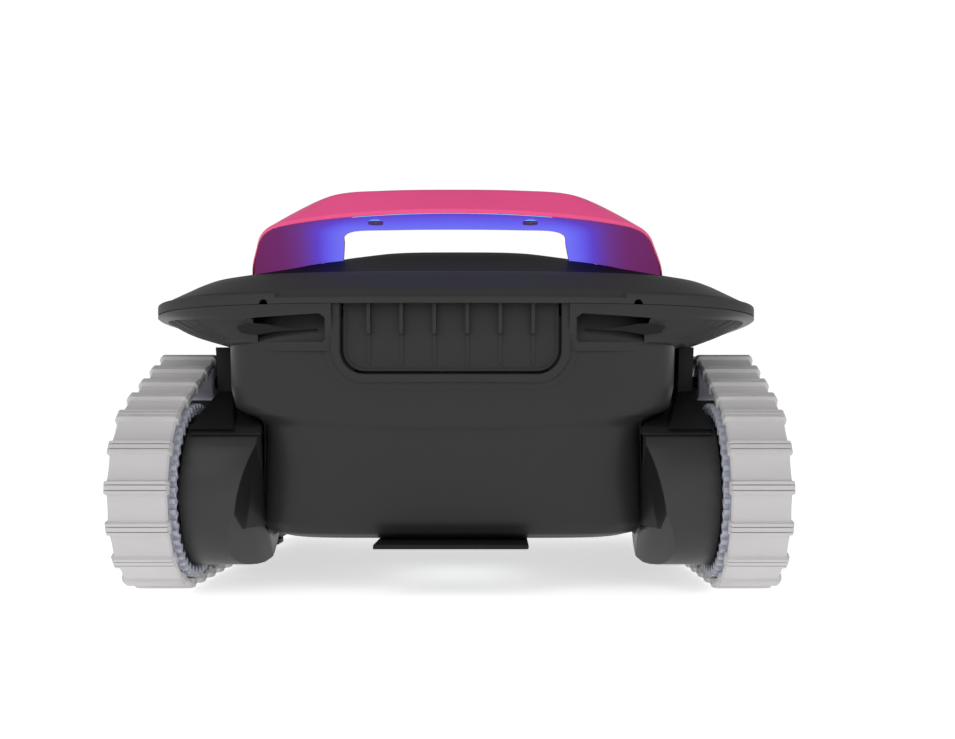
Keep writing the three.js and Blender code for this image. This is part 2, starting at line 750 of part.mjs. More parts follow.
function pumpDuct() {
  const legs = [];
  for (let i = 0; i < 3; i += 1) {
    const turn = (2 * Math.PI * i) / 3 + Math.PI / 2;
    const x = 39 * Math.cos(turn);
    const y = PUMP_Y + 39 * Math.sin(turn);
    legs.push(rodZ(3, x, y, BOX.z1 + 4 + GAP, 135, 10));
  }
  const tube = cut(rodZ(41, 0, PUMP_Y, 132, 196), rodZ(37, 0, PUMP_Y, 120, 200));
  return join(tube, ...legs);
}

function cableGland() {
  const { x, z, radius } = GLAND;
  return cut(
    join(rodY(radius, x, 168, 192, z), rodY(radius + 4, x, 178.4, 183, z, 6)),
    rodY(3.6, x, 180, 200, z, 12),
  );
}

// ---------- assembly ----------

const machine = new THREE.Group();

function add(name, geometry, material, position = [0, 0, 0], turnX = 0) {
  const mesh = new THREE.Mesh(closed(geometry), material);
  mesh.name = name;
  mesh.position.set(...position);
  mesh.rotation.x = turnX;
  machine.add(mesh);
}

// Adds a piece on the left (-X, mirrored) and its twin on the right (+X).
function addPair(stem, geometry, material, position = [0, 0, 0]) {
  const [x, y, z] = position;
  add(`${stem}_right`, geometry, material, position);
  add(`${stem}_left`, mirrored(geometry), material, [-x, y, z]);
}

add('hull_tub', hullTub(), blackCase);
add('notch_frame', notchFrame(), blackCase);
add('deck_frame', deckFrame(), blackCase);
add('intake_lip', intakeLip(), darkCase);
addPair('side_frame', sideFrame(), darkCase);
addPair('belt_rail', beltRail(), whitePlastic);
addPair('skid_foot', skidFoot(), darkCase);
addPair('track_belt', trackBelt(), trackRubber);

for (const [end, y, towardsMiddle] of [['front', -WHEEL_Y, 1], ['rear', WHEEL_Y, -1]]) {
  const driven = end === 'rear';
  addPair(`${end}_pod`, pod(y, towardsMiddle, driven), blackCase);
  addPair(`${end}_sprocket`, sprocket(), wheelPlastic, [0, y, WHEEL_Z]);
  addPair(`${end}_axle`, axle(), steel, [0, y, WHEEL_Z]);
  addPair(`${end}_idler`, upperIdler(), wheelPlastic, [0, Math.sign(y) * IDLER_Y, IDLER_Z]);
  if (driven) {
    const motorY = y + towardsMiddle * PINION_OFFSET;
    addPair('drive_motor', driveMotor(), steel, [0, motorY, WHEEL_Z]);
    addPair('drive_pinion', drivePinion(), whitePlastic, [0, motorY, WHEEL_Z]);
  }
}

add('filter_basket', filterBasket(), darkCase);
add('basket_bail', basketBail(), whitePlastic);
addPair('side_screen', sideScreen(), meshPlastic);
add('rear_screen', rearScreen(), meshPlastic);
addPair('intake_flap', intakeFlap(), whitePlastic);

add('motor_box', motorBox(), darkCase);
add('motor_box_cover', motorBoxCover(), darkCase);
add('pump_motor', pumpMotor(), steel);
add('control_board', box(-50, 50, 50, 51.6, 46, 104), boardGreen);
add('impeller', impeller(), whitePlastic, [0, PUMP_Y, 150]);
add('pump_duct', pumpDuct(), darkCase);
add('cable_gland', cableGland(), darkCase);
addPair('float_block', box(150, 178, -80, 80, 174, 188), foam);

add('lid_shell', lidShell(), blackCase);
add('outlet_grille', outletGrille(), darkCase);
add('handle_shell', handleShell(), pinkCase);
add('handle_underside', handleUnderside(), lightPanel);
add('light_board', box(-60, 60, -155.4, -151.6, 235, 236.4), boardGreen);
for (const [index, x] of HANDLE_SCREWS.entries()) {
  add(`handle_screw_${index + 1}`, rodZ(4, x, SCREW_Y, 233.6, 236.8, 12), steel);
}
for (const [index, x] of HINGE_X.entries()) {
  add(`hinge_pin_${index + 1}`, rodX(2, x - 17, x + 17, HINGE_Y, HINGE_Z, 12), steel);
}

export default machine;
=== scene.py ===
import bmesh
import bpy
import math
import numpy as np
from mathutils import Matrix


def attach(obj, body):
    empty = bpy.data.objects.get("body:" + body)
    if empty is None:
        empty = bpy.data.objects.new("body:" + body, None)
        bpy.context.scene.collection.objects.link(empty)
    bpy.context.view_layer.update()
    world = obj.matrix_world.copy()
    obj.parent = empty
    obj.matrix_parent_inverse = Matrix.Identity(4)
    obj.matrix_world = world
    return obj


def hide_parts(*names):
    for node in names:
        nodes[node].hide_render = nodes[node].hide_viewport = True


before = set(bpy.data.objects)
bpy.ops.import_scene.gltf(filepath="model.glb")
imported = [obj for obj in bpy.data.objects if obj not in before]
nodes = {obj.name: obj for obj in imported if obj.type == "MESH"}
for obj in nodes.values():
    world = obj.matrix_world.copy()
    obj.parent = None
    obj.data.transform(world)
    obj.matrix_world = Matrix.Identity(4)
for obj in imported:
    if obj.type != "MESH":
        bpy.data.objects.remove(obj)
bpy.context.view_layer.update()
mm = 0.001

print("colours and materials")


def toLinear(code):
    parts = [int(code[i:i + 2], 16) / 255 for i in (1, 3, 5)]
    return [c / 12.92 if c <= 0.04045 else ((c + 0.055) / 1.055) ** 2.4 for c in parts] + [1.0]


def addNode(tree, kind, settings=None, links=None):
    node = tree.nodes.new(kind)
    for key, value in (settings or {}).items():
        if hasattr(node, key) and key not in node.inputs:
            setattr(node, key, value)
        else:
            node.inputs[key].default_value = value
    for key, source in (links or {}).items():
        tree.links.new(source, node.inputs[key])
    return node


def moulded(name, values):
    # plastic or rubber from a mould: base colour with a faint cloudiness, and a fine grain of the
    # given size in millimetres that breaks up the gloss
    material = bpy.data.materials.new(name)
    material.use_nodes = True
    tree = material.node_tree
    shader = tree.nodes["Principled BSDF"]
    place = addNode(tree, "ShaderNodeTexCoord")
    cloud = addNode(tree, "ShaderNodeTexNoise", {"Scale": 1000 / values["cloudMm"], "Detail": 3.0},
                    {"Vector": place.outputs["Object"]})
    base = np.array(toLinear(values["colour"]))
    dark = [float(c) for c in base[:3] * (1 - values["cloudy"])] + [1.0]
    light = [float(c) for c in base[:3] * (1 + values["cloudy"])] + [1.0]
    tint = addNode(tree, "ShaderNodeMix", {"data_type": "RGBA"}, {"Factor": cloud.outputs["Fac"]})
    tint.inputs[6].default_value = dark
    tint.inputs[7].default_value = light
    tree.links.new(tint.outputs[2], shader.inputs["Base Color"])
    grain = addNode(tree, "ShaderNodeTexNoise", {"Scale": 1000 / values["grainMm"], "Detail": 2.0},
                    {"Vector": place.outputs["Object"]})
    rough = addNode(tree, "ShaderNodeMapRange", {
        "From Min": 0.3, "From Max": 0.7,
        "To Min": values["rough"] - 0.05, "To Max": values["rough"] + 0.05,
    }, {"Value": grain.outputs["Fac"]})
    tree.links.new(rough.outputs["Result"], shader.inputs["Roughness"])
    bump = addNode(tree, "ShaderNodeBump", {"Strength": values["bump"], "Distance": 0.0002},
                   {"Height": grain.outputs["Fac"]})
    tree.links.new(bump.outputs["Normal"], shader.inputs["Normal"])
    shader.inputs["Specular IOR Level"].default_value = values.get("gloss", 0.5)
    shader.inputs["Metallic"].default_value = values.get("metal", 0.0)
    shader.inputs["IOR"].default_value = values.get("ior", 1.5)
    return material


finishes = {
    # satin ABS: near black, soft wide highlights
    "hullPlastic": dict(colour="#2b2b2b", cloudMm=60, cloudy=0.05,
                        grainMm=0.9, rough=0.42, bump=0.12, gloss=0.2),
    # the lid's ABS, a little darker and smoother
    "lidPlastic": dict(colour="#383838", cloudMm=80, cloudy=0.05,
                       grainMm=0.9, rough=0.5, bump=0.1, gloss=0.04),
    # the lid's crown, tinted violet-black and flat: painted shade, with a faint violet cast of the handle's
    # blue light, so that it reads darker than the brow round it
    "shadedCrownPlastic": dict(colour="#17161c", cloudMm=80, cloudy=0.05,
                         grainMm=0.9, rough=0.6, bump=0.1, gloss=0.02),
    # textured polypropylene: dull and almost black
    "framePlastic": dict(colour="#191919", cloudMm=40, cloudy=0.08,
                         grainMm=1.2, rough=0.55, bump=0.2, gloss=0.15),
    # pod housings, smooth ABS
    "podPlastic": dict(colour="#2f2f2f", cloudMm=50, cloudy=0.05,
                       grainMm=0.9, rough=0.38, bump=0.08, gloss=0.3),
    # glossy magenta-pink ABS
    "pinkPlastic": dict(colour="#e44f87", cloudMm=90, cloudy=0.03,
                        grainMm=1.0, rough=0.42, bump=0.05, gloss=0.25),
    # moulded light grey rubber: chalky, no highlight
    "beltRubber": dict(colour="#bebcbd", cloudMm=18, cloudy=0.04,
                       grainMm=0.8, rough=0.8, bump=0.3, gloss=0.15),
    # acetal wheels, cool blue-grey with a waxy sheen
    "wheelPlastic": dict(colour="#a6a8b4", cloudMm=30, cloudy=0.05,
                         grainMm=0.9, rough=0.45, bump=0.1, gloss=0.4),
    # nylon: off-white, semi matt
    "nylonPlastic": dict(colour="#c9ccd0", cloudMm=30, cloudy=0.04,
                         grainMm=0.9, rough=0.5, bump=0.1, gloss=0.5),
    # turned stainless steel
    "turnedSteel": dict(colour="#b4b6ba", cloudMm=12, cloudy=0.06,
                        grainMm=0.5, rough=0.3, bump=0.15, metal=1.0),
    # closed-cell foam: chalky with visible cells
    "cellFoam": dict(colour="#ddd8c8", cloudMm=10, cloudy=0.08,
                     grainMm=1.5, rough=0.9, bump=0.8, gloss=0.2),
    # fibreglass board under green solder mask
    "boardLacquer": dict(colour="#1d6a41", cloudMm=8, cloudy=0.15,
                         grainMm=1.0, rough=0.35, bump=0.2),
}
materials = {name: moulded(name, values) for name, values in finishes.items()}


def wovenScreen(name, values):
    # woven filter cloth: fine crossed threads that leave a grid of tiny dark holes
    material = moulded(name, values)
    tree = material.node_tree
    shader = tree.nodes["Principled BSDF"]
    place = addNode(tree, "ShaderNodeTexCoord")
    heights = []
    for axis in ("Y", "Z"):
        threads = {"bands_direction": axis, "Scale": 50 / values["threadMm"]}
        wave = addNode(tree, "ShaderNodeTexWave", threads, {"Vector": place.outputs["Object"]})
        heights.append(wave.outputs["Fac"])
    cross = addNode(tree, "ShaderNodeMath", {"operation": "MAXIMUM"})
    tree.links.new(heights[0], cross.inputs[0])
    tree.links.new(heights[1], cross.inputs[1])
    bump = addNode(tree, "ShaderNodeBump", {"Strength": 0.9, "Distance": 0.0006},
                   {"Height": cross.outputs["Value"]})
    tree.links.new(bump.outputs["Normal"], shader.inputs["Normal"])
    return material


# threads drawn 2.4 mm apart, coarser than the real cloth, so that they show
materials["screenCloth"] = wovenScreen("screenCloth", dict(
    colour="#4c5056", cloudMm=20, cloudy=0.1, grainMm=1.0, rough=0.7, bump=0.2, gloss=0.3, threadMm=2.4))


def litPanel(name, values):
    # diffusing panel under the handle: blue light from behind, strong by the hand opening and
    # fading to the panel's own magenta-tinted plastic; reads the piece's glow attribute
    material = moulded(name, values)
    tree = material.node_tree
    shader = tree.nodes["Principled BSDF"]
    glow = addNode(tree, "ShaderNodeAttribute", {"attribute_name": "glow"})
    ramp = addNode(tree, "ShaderNodeValToRGB", links={"Fac": glow.outputs["Fac"]})
    stops = ramp.color_ramp.elements
    stops[0].position, stops[0].color = 0.0, toLinear(values["far"])
    stops[1].position, stops[1].color = 1.0, toLinear(values["near"])
    for position, code in values["between"]:
        stop = stops.new(position)
        stop.color = toLinear(code)
    tree.links.new(ramp.outputs["Color"], shader.inputs["Emission Color"])
    shader.inputs["Emission Strength"].default_value = values["strength"]
    return material


materials["litPanel"] = litPanel("litPanel", dict(
    colour="#2a0d20", cloudMm=60, cloudy=0.03, grainMm=1.0, rough=0.45, bump=0.05, gloss=0.3,
    far="#6e2a5c", near="#7478ff", strength=0.92,
    between=[(0.22, "#702f70"), (0.42, "#6d3a92"), (0.66, "#6246cf"), (0.85, "#6a63f6")]))


def glowing(name, code, strength):
    # plastic that itself shines, though no lamp: painted light, and painted shade that glows, on the handle's
    # recess walls and along the seam under the nose
    material = moulded(name, dict(colour=code, cloudMm=5, cloudy=0.05, grainMm=0.5, rough=0.4, bump=0.05))
    shader = material.node_tree.nodes["Principled BSDF"]
    shader.inputs["Emission Color"].default_value = toLinear(code)
    shader.inputs["Emission Strength"].default_value = strength
    return material


# glowing painted light in cyan and glowing painted shade in dark magenta
materials["paintedCyanLight"] = glowing("paintedCyanLight", "#58d6ff", 0.9)
materials["paintedMagentaShade"] = glowing("paintedMagentaShade", "#4a1c4c", 0.5)

print("mesh helpers")


def surface(name, grid, wrapCols=True, wrapRows=False, capped=False, angle=38):
    # mesh from a grid of points in millimetres; rows follow one parameter and columns the other
    rows, cols = grid.shape[:2]
    r = np.arange(rows if wrapRows else rows - 1)
    c = np.arange(cols if wrapCols else cols - 1)
    r, c = np.meshgrid(r, c, indexing="ij")
    nextR = (r + 1) % rows
    nextC = (c + 1) % cols
    quads = np.stack([r * cols + c, r * cols + nextC, nextR * cols + nextC, nextR * cols + c], -1)
    faces = quads.reshape(-1, 4).tolist()
    if capped:
        faces.append(list(range(cols))[::-1])
        faces.append([(rows - 1) * cols + i for i in range(cols)])
    mesh = bpy.data.meshes.new(name)
    mesh.from_pydata((grid.reshape(-1, 3) * mm).tolist(), [], faces)
    piece = bpy.data.objects.new(name, mesh)
    bpy.context.scene.collection.objects.link(piece)
    closeUp(piece, angle)
    return piece


def closeUp(piece, angle=38):
    # joins doubled points at poles and seams, turns the faces outwards, and shades by angle
    work = bmesh.new()
    work.from_mesh(piece.data)
    bmesh.ops.remove_doubles(work, verts=work.verts, dist=2e-6)
    bmesh.ops.dissolve_degenerate(work, dist=1e-6, edges=work.edges)
    bmesh.ops.recalc_face_normals(work, faces=work.faces)
    work.to_mesh(piece.data)
    work.free()
    piece.data.polygons.foreach_set("use_smooth", np.ones(len(piece.data.polygons), bool))
    piece.data.set_sharp_from_angle(angle=math.radians(angle))


def carve(piece, *tools, angle=38):
    # cuts the tools out of the piece and throws them away
    for tool in tools:
        change = piece.modifiers.new("cut", "BOOLEAN")
        change.operation = "DIFFERENCE"
        change.solver = "EXACT"
        change.object = tool
        applyModifiers(piece)
        bpy.data.objects.remove(tool)
    closeUp(piece, angle)


def applyModifiers(piece):
    graph = bpy.context.evaluated_depsgraph_get()
    mesh = bpy.data.meshes.new_from_object(piece.evaluated_get(graph))
    piece.modifiers.clear()
    piece.data = mesh


def settle(piece, body, slotName, material, *replaced):
    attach(piece, body)
    piece.data.materials.clear()
    piece.data.materials.append(materials[material])
    if replaced:
        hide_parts(*replaced)
    return piece


def block(name, low, high):
    # closed box between two corners, in millimetres
    x0, y0, z0 = low
    x1, y1, z1 = high
    ring = lambda z: [[x0, y0, z], [x1, y0, z], [x1, y1, z], [x0, y1, z]]
    return surface(name, np.array([ring(z0), ring(z1)], float), capped=True)


def turned(name, centre, axis, profile, sides=64):
    # surface of revolution about an axis through the centre: profile is (radius, along) pairs
    turn = np.linspace(0, 2 * np.pi, sides, endpoint=False)
    profile = np.array(profile, float)
    radius = profile[:, 0, None]
    along = np.repeat(profile[:, 1, None], sides, axis=1)
    first = radius * np.cos(turn)
    second = radius * np.sin(turn)
    order = {"X": (along, first, second), "Y": (second, along, first), "Z": (first, second, along)}[axis]
    grid = np.stack(order, -1) + np.array(centre, float)
    return surface(name, grid)


def prism(name, outline, axis, start, end):
    # outline of (first, second) points given a thickness along an axis
    outline = np.array(outline, float)
    ends = []
    for along in (start, end):
        column = np.full(len(outline), float(along))
        order = {"X": (column, outline[:, 0], outline[:, 1]), "Y": (outline[:, 0], column, outline[:, 1])}
        ends.append(np.stack(order[axis], -1))
    return surface(name, np.array(ends), capped=True)


def softened(node, width, body, slotName, material, angle=35):
    # bevelled copy of a structural node, with its edges rounded by the given width
    name = node + "_finished"
    mesh = nodes[node].data.copy()
    piece = bpy.data.objects.new(name, mesh)
    bpy.context.scene.collection.objects.link(piece)
    work = bmesh.new()
    work.from_mesh(mesh)
    bmesh.ops.remove_doubles(work, verts=work.verts, dist=3e-6)
    bmesh.ops.dissolve_limit(work, angle_limit=math.radians(0.6), verts=work.verts, edges=work.edges)
    work.to_mesh(mesh)
    work.free()
    bevel = piece.modifiers.new("bevel", "BEVEL")
    bevel.width = width * mm
    bevel.segments = 2
    bevel.limit_method = "ANGLE"
    bevel.angle_limit = math.radians(40)
    bevel.use_clamp_overlap = True
    applyModifiers(piece)
    piece.data.polygons.foreach_set("use_smooth", np.ones(len(piece.data.polygons), bool))
    piece.data.set_sharp_from_angle(angle=math.radians(angle))
    return settle(piece, body, slotName, material, node)


def bend(value, power):
    return np.sign(value) * np.abs(np.where(np.abs(value) < 1e-9, 0, value)) ** (2 / power)


def ovalXY(halfX, halfY, power, turn):
    return halfX * bend(np.cos(turn), power), halfY * bend(np.sin(turn), power)


def ease(value):
    value = np.clip(value, 0, 1)
    return value * value * (3 - 2 * value)


def evenTurns(halfX, halfY, power, count):
    # turns that space points evenly along the oval
    fine = np.linspace(0, 2 * np.pi, 40001)
    x, y = ovalXY(halfX, halfY, power, fine)
    run = np.concatenate([[0], np.cumsum(np.hypot(np.diff(x), np.diff(y)))])
    return np.interp(np.linspace(0, run[-1], count, endpoint=False), run, fine)


def smoothLine(keys, count, spread):
    # points along a key line, evenly spaced and eased round its corners over the given length
    keys = np.array(keys, float)
    run = np.concatenate([[0], np.cumsum(np.linalg.norm(np.diff(keys, axis=0), axis=1))])
    fine = np.linspace(0, run[-1], 2001)
    half = max(1, int(spread / run[-1] * 1000))
    kernel = np.hanning(2 * half + 1)
    kernel /= kernel.sum()
    lines = []
    for column in keys.T:
        line = np.interp(fine, run, column)
        before = 2 * line[0] - line[half:0:-1]
        after = 2 * line[-1] - line[-2:-half - 2:-1]
        line = np.convolve(np.concatenate([before, line, after]), kernel, "valid")
        lines.append(np.interp(np.linspace(0, run[-1], count), fine, line))
    return np.stack(lines, -1)


print("hull")

# hull levels from the top down: half length across, half length along, height, squareness
hull = dict(turns=260, levels=[
    [128, 171, 170, 8], [134, 174.5, 158, 9], [139.6, 177, 151, 12], [138.6, 176.2, 126, 13],
    [136.4, 175.6, 113, 12], [131.5, 175, 105.2, 11], [126, 173.8, 101.6, 9.5], [122.8, 171.4, 98.6, 8.6],
    [122.6, 170.2, 92, 8.4], [123.4, 166.5, 66, 8.4], [124, 161.5, 42, 8.6], [121, 157.5, 35.6, 8],
    [112, 150, 32.4, 7], [96, 134, 32, 7]])
notch = dict(halfWidth=66.1, bottom=133.2, corner=14.8, frame=5.2)
# outline of the pocket beside the notch, under the rim
rimPocket = np.array([
    [74.4, 154], [76.5, 152.2], [129, 152.2], [131, 155], [126, 166.6], [78, 169], [74.4, 166.4]])


def hullStack(levels, turns):
    # rows of ovals; the crease climbs towards the sides
    x = np.array([ovalXY(level[0], level[1], level[3], turns)[0] for level in levels])
    y = np.array([ovalXY(level[0], level[1], level[3], turns)[1] for level in levels])
    z = np.repeat(np.array(levels)[:, 2, None], len(turns), axis=1)
    climb = np.exp(-((z - 100) / 9) ** 2) * 6.5 * np.clip(np.abs(x) / 125, 0, 1) ** 2
    return np.stack([x, y, z + climb], -1)


def notchOutline(halfWidth, bottom, corner, top, steps=14):
    arc = np.linspace(0, np.pi / 2, steps)
    left = np.stack([-halfWidth + corner * (1 - np.cos(arc)), bottom + corner * (1 - np.sin(arc))], -1)
    right = left[::-1] * [-1, 1]
    return np.concatenate([[[-halfWidth, top]], left, right, [[halfWidth, top]]])


def makeHull():
    turns = evenTurns(139, 178, 9, hull["turns"])
    outside = smoothLine(hull["levels"], 110, 2.6)[::-1]
    inside = np.array([[110, 148, 35.5, 9], [119, 157, 42, 11], [120, 163, 66, 11], [119, 167, 97, 11],
                       [134, 173, 126, 12], [136, 173.4, 149, 12], [125, 168, 169.9, 8]])[::-1]
    middle = np.array([[0, 0, 32, 5]])
    floor = np.array([[0, 0, 35.5, 5]])
    levels = np.concatenate([middle, outside, inside, floor])
    piece = surface("hull_shell", hullStack(levels, turns))
    reach = notch["halfWidth"] + 2.5
    outline = notchOutline(reach, notch["bottom"] - 2.5, notch["corner"] + 2.5, 190)
    carve(
        piece,
        prism("notchTool", outline, "Y", -200, -150),
        block("intakeTool", [-38, -112, 20], [38, -32, 40]),
        prism("pocketTool", rimPocket, "Y", -200, -174.6),
        prism("pocketTool", rimPocket * [-1, 1], "Y", -200, -174.6),
        turned("glandTool", [-84, 0, 118], "Y", [[0, 150], [8.3, 150], [8.3, 200], [0, 200]], 32),
    )
    for side in (-1, 1):
        makeSeam(side)
    return settle(piece, "chassis", "black_case", "hullPlastic", "hull_tub")


def makeSeam(side):
    # fine moulding bead down each front corner: a thin tube laid on the hull's surface
    levels = smoothLine(hull["levels"], 110, 2.6)
    levels = levels[(levels[:, 2] < 101) & (levels[:, 2] > 35)]
    rows = []
    for halfX, halfY, z, power in levels:
        x = 116 + (100 - z) * 0.04 if z > 44 else halfX * 0.955
        y = -halfY * (1 - (x / halfX) ** power) ** (1 / power)
        rise = math.exp(-((z - 100) / 9) ** 2) * 6.5 * (x / 125) ** 2
        rows.append([side * x, y, z + rise])
    tube("hull_seam", np.array(rows), 0.45, "chassis", "black_case", "podPlastic")


def tube(name, path, radius, body, slotName, material, sides=8):
    # round thread along a path, its ends closed
    ahead = np.gradient(path, axis=0)
    ahead /= np.linalg.norm(ahead, axis=1)[:, None]
    across = np.cross(ahead, [0.31, 0.17, 0.93])
    across /= np.linalg.norm(across, axis=1)[:, None]
    third = np.cross(ahead, across)
    turn = np.linspace(0, 2 * np.pi, sides, endpoint=False)[None, :, None]
    grid = path[:, None] + radius * (np.cos(turn) * across[:, None] + np.sin(turn) * third[:, None])
    return settle(surface(name, grid, capped=True), body, slotName, material)


makeHull()


def makeNotchFrame():
    # U-shaped frame that stands proud of the hull round the opening, with a soft outer slope
    width = notch["frame"]
    rows = []
    for grow, y in ((-0.2, -170), (-0.2, -180.6), (0.4, -181.2), (width - 0.6, -181.2), (width, -180.6),
                    (width + 0.2, -178.6), (width + 4, -177.4), (width + 4, -172)):
        outline = notchOutline(
            notch["halfWidth"] + grow, notch["bottom"] - grow, notch["corner"] + grow, 175, 20)
        deep = y + np.where(y < -175, (151 - np.minimum(outline[:, 1], 151)) * 0.035, 0)
        rows.append(np.stack([outline[:, 0], deep, outline[:, 1]], -1))
    grid = np.array(rows).transpose(1, 0, 2)
    piece = surface("notch_trim", grid, capped=True)
    return settle(piece, "chassis", "black_case", "hullPlastic", "notch_frame")


makeNotchFrame()

print("deck and lid")

rim = dict(halfX=207.5, halfY=186.0, corner=3.25)
deck = dict(innerX=139.7, innerY=178.5, fins=110, recess=2.6, slot=1.8)


def makeDeck():
    # flared ring: each row is a share of the way from the hull's outline out to the rim's
    turns = evenTurns(rim["halfX"], rim["halfY"], rim["corner"], 900)
    keys = [[0.0, 147], [0.03, 151], [0.1, 152.8], [0.5, 160.4], [0.8, 166.8], [0.9, 168.8], [0.965, 169.8],
            [0.995, 170.8], [1, 172], [1, 174.2], [0.99, 174.7], [0.94, 174.7], [0.93, 174.4],
            [0.5, 167], [0.05, 158]]
    line = smoothLine([[w * 60, z] for w, z in keys], 96, 1.0) / [60, 1]
    share, height = line[:, 0, None], line[:, 1, None]
    x0, y0 = ovalXY(deck["innerX"], deck["innerY"], 9, turns)
    x1, y1 = ovalXY(rim["halfX"], rim["halfY"], rim["corner"], turns)
    x = x0 + (x1 - x0) * share
    y = y0 + (y1 - y0) * share
    # a sunk panel in the sloping underside, crossed by fins near the corners, with a slot beside them
    under = (np.arange(len(line)) < len(line) * 0.45)[:, None]
    wide = np.hypot(x1 - x0, y1 - y0)
    band = ease((share - 0.12) / 0.05) * ease((0.86 - share) / 0.04)
    reach = ease((np.abs(x) - 74) / 3) * ease((wide - 3) / 4)
    fins = ease(np.cos(turns * deck["fins"]) * 4 - 1.4)
    fins = fins * ease((np.abs(x) - 122) / 8) * ease((204 - np.abs(x)) / 4)
    taper = np.clip((np.abs(x) - 80) / 36, 0, 1) * ease((132 - np.abs(x)) / 6)
    slot = ease((0.17 * taper + 0.02 - np.abs(share - 0.42)) / 0.03)
    slot = slot * ease((np.abs(x) - 80) / 2) * (taper > 0)
    sunk = deck["recess"] * band * reach * (1 - fins) + deck["slot"] * slot
    edge = 2.4 * ease((np.abs(x) - 160) / 35) - 2.2 * np.exp(-((np.abs(x) - 125) / 24) ** 2)
    z = height + np.where(under, sunk, 0) + edge * ease((share - 0.5) / 0.4) * ease((173.6 - height) / 2)
    piece = surface("deck_ring", np.stack([x, y, z], -1), wrapRows=True)
    tools = [block("frontTool", [-70.6, -200, 130], [70.6, -166, 190])]
    # teardrop outline of a dark plate on each pocket's back wall: painted shade standing in for the shaded slot
    # there
    drop = np.array([
        [80, 160.2], [100, 161.2], [111, 163.2], [120, 163.8],
        [128, 162], [126, 158.2], [116, 156.8], [104, 158.8]])
    for side in (-1, 1):
        tools.append(prism("pocketTool", rimPocket * [side, 1], "Y", -200, -174.6))
        shade = prism("pocket_slot_shade", drop * [side, 1], "Y", -175.9, -172)
        settle(shade, "chassis", "dark_case", "framePlastic")
    carve(piece, *tools)
    for hingeX in (-66, 66):
        for side in (-1, 1):
            makeHingeLug(f"hinge_lug_{hingeX}_{side}", hingeX + side * 12.5, 3, 159, "chassis")
    return settle(piece, "chassis", "black_case", "hullPlastic", "deck_frame")


def makeHingeLug(name, x, half, low, body):
    # rounded tab with a flat root, seen from the side as a teardrop
    arc = np.linspace(-np.pi / 2, np.pi / 2, 16)
    nose = np.stack([194 + 5.2 * np.cos(arc), 170.5 + 5.2 * np.sin(arc)], -1)
    if low < 170:
        root = [[181.2, 172.7], [181.2, low]]
    else:
        root = [[183.5, 178.6], [183.5, 175.2]]
    outline = np.concatenate([nose, root])
    piece = prism(name, outline, "X", x - half, x + half)
    return settle(piece, body, "black_case", "hullPlastic")


makeDeck()

lid = dict(wall=3.0, turns=320, stepX=105.0, crease=0.845)
# share of the way out to the rim, and height there
lidKeys = [[0, 225.6], [0.14, 225.4], [0.25, 225.0], [0.33, 223.4], [0.45, 218.0], [0.6, 209.6],
           [0.75, 201.9], [0.85, 197.0], [0.885, 193.6], [0.93, 188.4], [0.99, 181.4]]


def lidHeight(t):
    # height of the lid's top by its share of the way from the middle to the rim
    keys = np.array(lidKeys)
    fine = np.linspace(-0.2, 1.2, 2801)
    z = np.interp(np.abs(fine), keys[:, 0], keys[:, 1])
    kernel = np.hanning(61)
    smooth = np.convolve(z, kernel / kernel.sum(), "same")
    return np.interp(t, fine, smooth)


def makeLid():
    # two columns stand close together wherever the ledge round the skirt steps down
    turns = evenTurns(rim["halfX"], rim["halfY"], rim["corner"], lid["turns"])
    stepTurn = math.acos((lid["stepX"] / rim["halfX"]) ** (rim["corner"] / 2))
    quarters = ((0, 1), (np.pi, -1), (np.pi, 1), (2 * np.pi, -1))
    steps = np.array([sign * stepTurn + base for base, sign in quarters])
    turns = np.sort(np.concatenate([turns, steps - 0.0012, steps + 0.0012]))
    t = np.concatenate([np.linspace(0, 0.8, 30), np.linspace(0.81, 0.975, 30)])
    outside = np.stack([t, lidHeight(t)], -1)
    skirt = np.array([[0.981, 181.2], [0.986, 180.2], [0.988, 179.5], [0.996, 179.2], [0.999, 178.7], [1, 178],
                      [1, 175.6], [0.9985, 175.0], [0.984, 175.0], [0.982, 177]])
    back = np.linspace(0.97, 0, 40)
    inside = np.stack([back * 0.985, lidHeight(back) - lid["wall"]], -1)
    line = np.concatenate([outside, skirt, inside])
    x, y = ovalXY(1.0, 1.0, rim["corner"], turns)
    grid = np.stack([
        rim["halfX"] * line[:, 0, None] * x,
        rim["halfY"] * line[:, 0, None] * y,
        np.repeat(line[:, 1, None], len(turns), axis=1),
    ], -1)
    low = len(outside)
    lift = np.array([0.4, 1.4, 2.1, 2.4, 2.4, 2.2])[:, None] * (np.abs(rim["halfX"] * x) > lid["stepX"])
    grid[low:low + 6, :, 2] += lift
    piece = surface("lid_cover", grid, angle=30)
    tools = [turned("outletTool", [0, 96, 0], "Z", [[0, 190], [38.3, 190], [38.3, 240], [0, 240]], 96)]
    for x in (-112, 112):
        profile = [[0, -200], [2.7, -200], [2.7, -160], [0, -160]]
        tools.append(turned("pryTool", [x, 0, 175.2], "Y", profile, 24))
    carve(piece, *tools)
    for hingeX in (-66, 66):
        makeHingeLug(f"lid_knuckle_{hingeX}", hingeX, 9, 175, "lid")
    settle(piece, "lid", "black_case", "lidPlastic", "lid_shell")
    # the up-facing crown inside the crease takes its own finish, the painted shade
    piece.data.materials.append(materials["shadedCrownPlastic"])
    power = rim["corner"]
    for face in piece.data.polygons:
        x, y = face.center[0] / mm, face.center[1] / mm
        share = ((abs(x) / rim["halfX"]) ** power + (abs(y) / rim["halfY"]) ** power) ** (1 / power)
        if share < lid["crease"] and face.normal.z > 0.2:
            face.material_index = 1
    return piece


makeLid()

print("handle")

